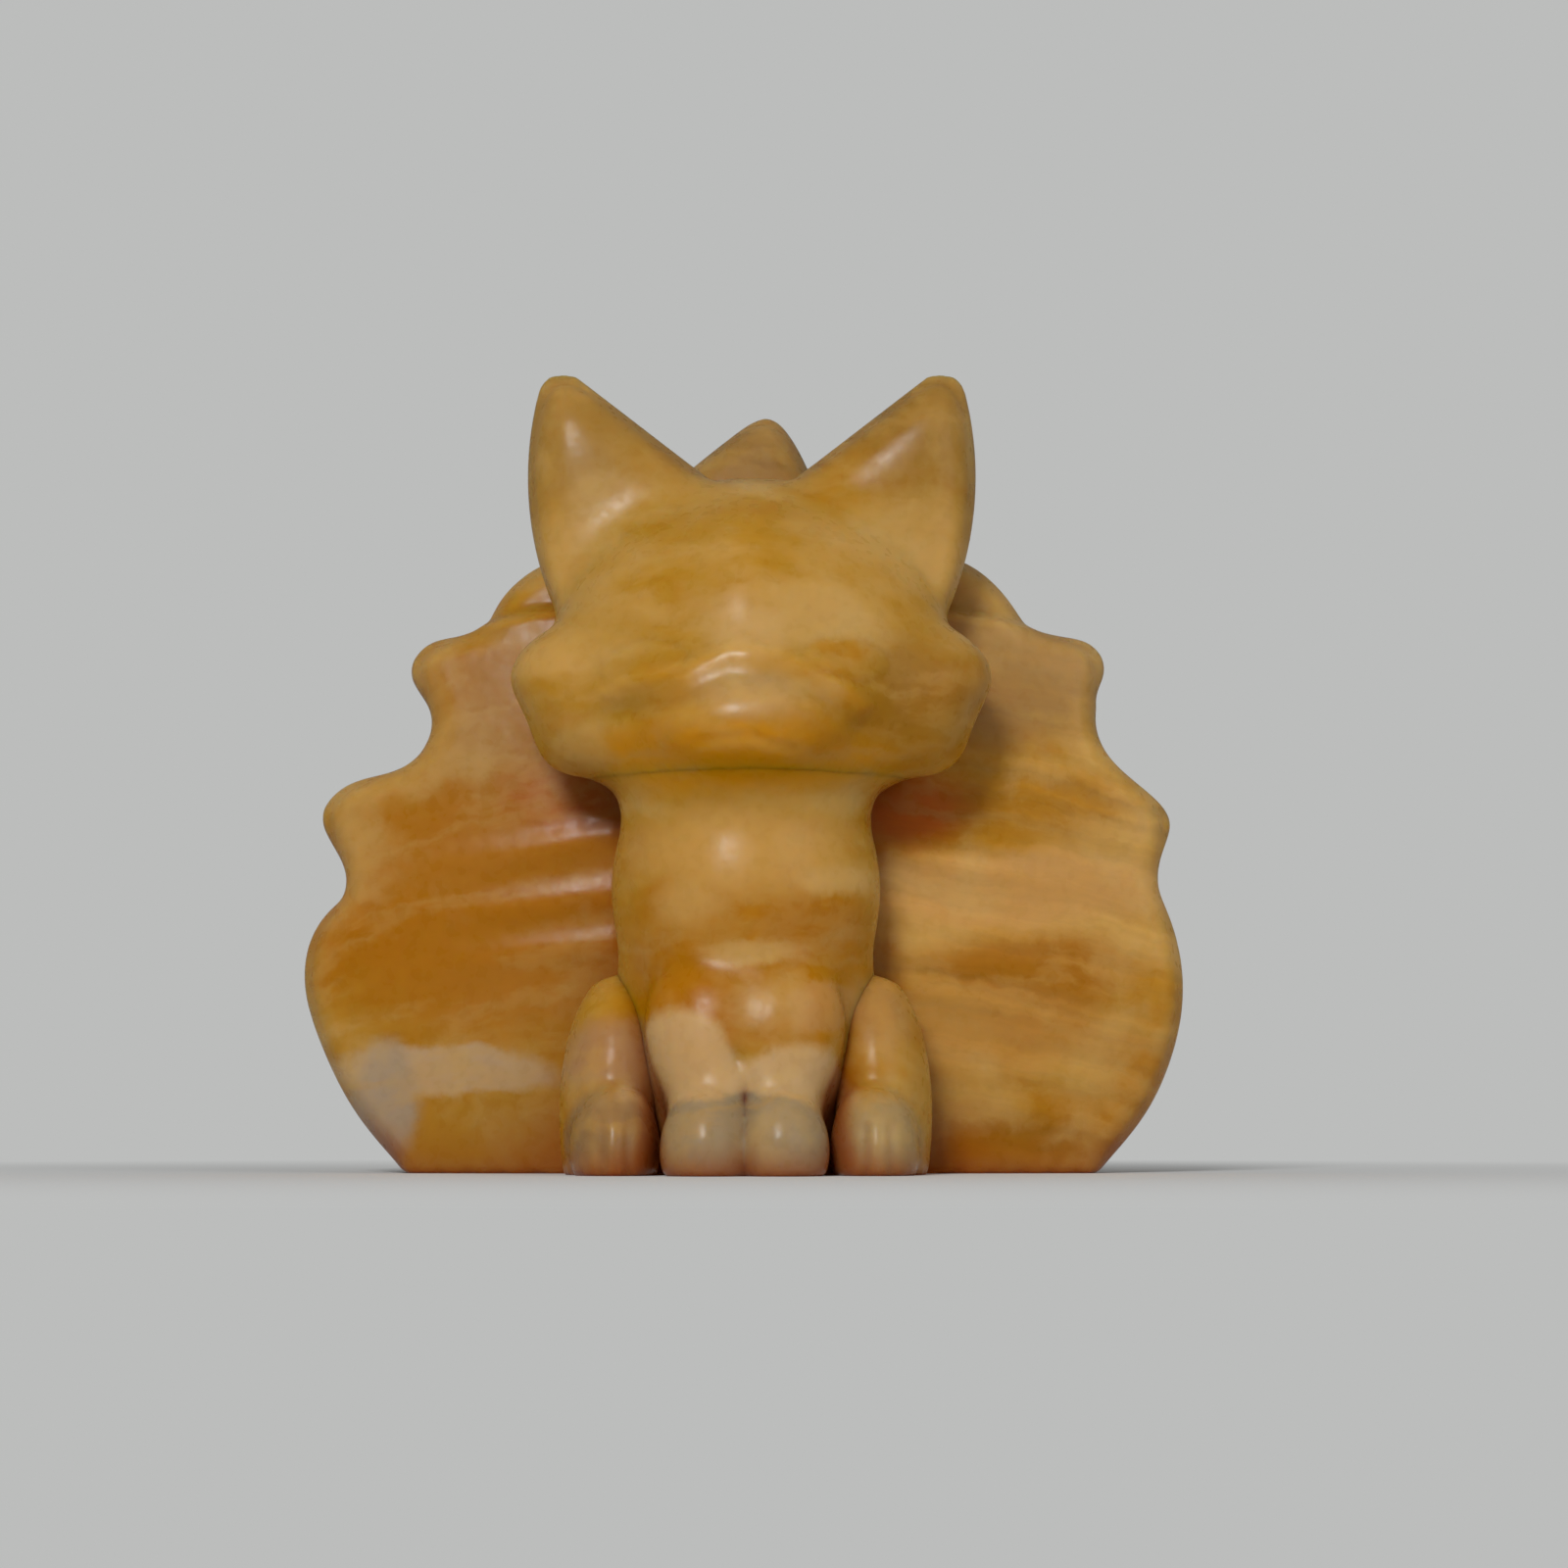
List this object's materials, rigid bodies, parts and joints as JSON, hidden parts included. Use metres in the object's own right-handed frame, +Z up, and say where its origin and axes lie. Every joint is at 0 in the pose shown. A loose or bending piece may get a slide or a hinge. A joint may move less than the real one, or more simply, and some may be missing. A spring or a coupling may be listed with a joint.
{
  "type": "carved fox figurine",
  "caption": "Seated fox figurine with a fan of tails behind it, carved from polished banded orange calcite, with a flat base to stand on.",
  "frame": {"origin": "middle of the flat base", "axes": "+Z up from the base, the fox faces -Y, +X is the viewer's right seen from the front"},
  "size_m": [0.05, 0.027, 0.0447],
  "materials": {
    "calcite": "polished"
  },
  "bodies": {
    "root": {"head": "calcite", "muzzle": "calcite", "left_cheek_tuft": "calcite", "right_cheek_tuft": "calcite", "left_ear": "calcite", "right_ear": "calcite", "torso": "calcite", "left_foreleg": "calcite", "right_foreleg": "calcite", "left_front_paw": "calcite", "right_front_paw": "calcite", "left_thigh": "calcite", "right_thigh": "calcite", "left_hind_paw": "calcite", "right_hind_paw": "calcite", "left_tail_1": "calcite", "left_tail_2": "calcite", "left_tail_3": "calcite", "left_tail_4": "calcite", "top_tail": "calcite", "right_tail_4": "calcite", "right_tail_3": "calcite", "right_tail_2": "calcite", "right_tail_1": "calcite"}
  },
  "joints": []
}
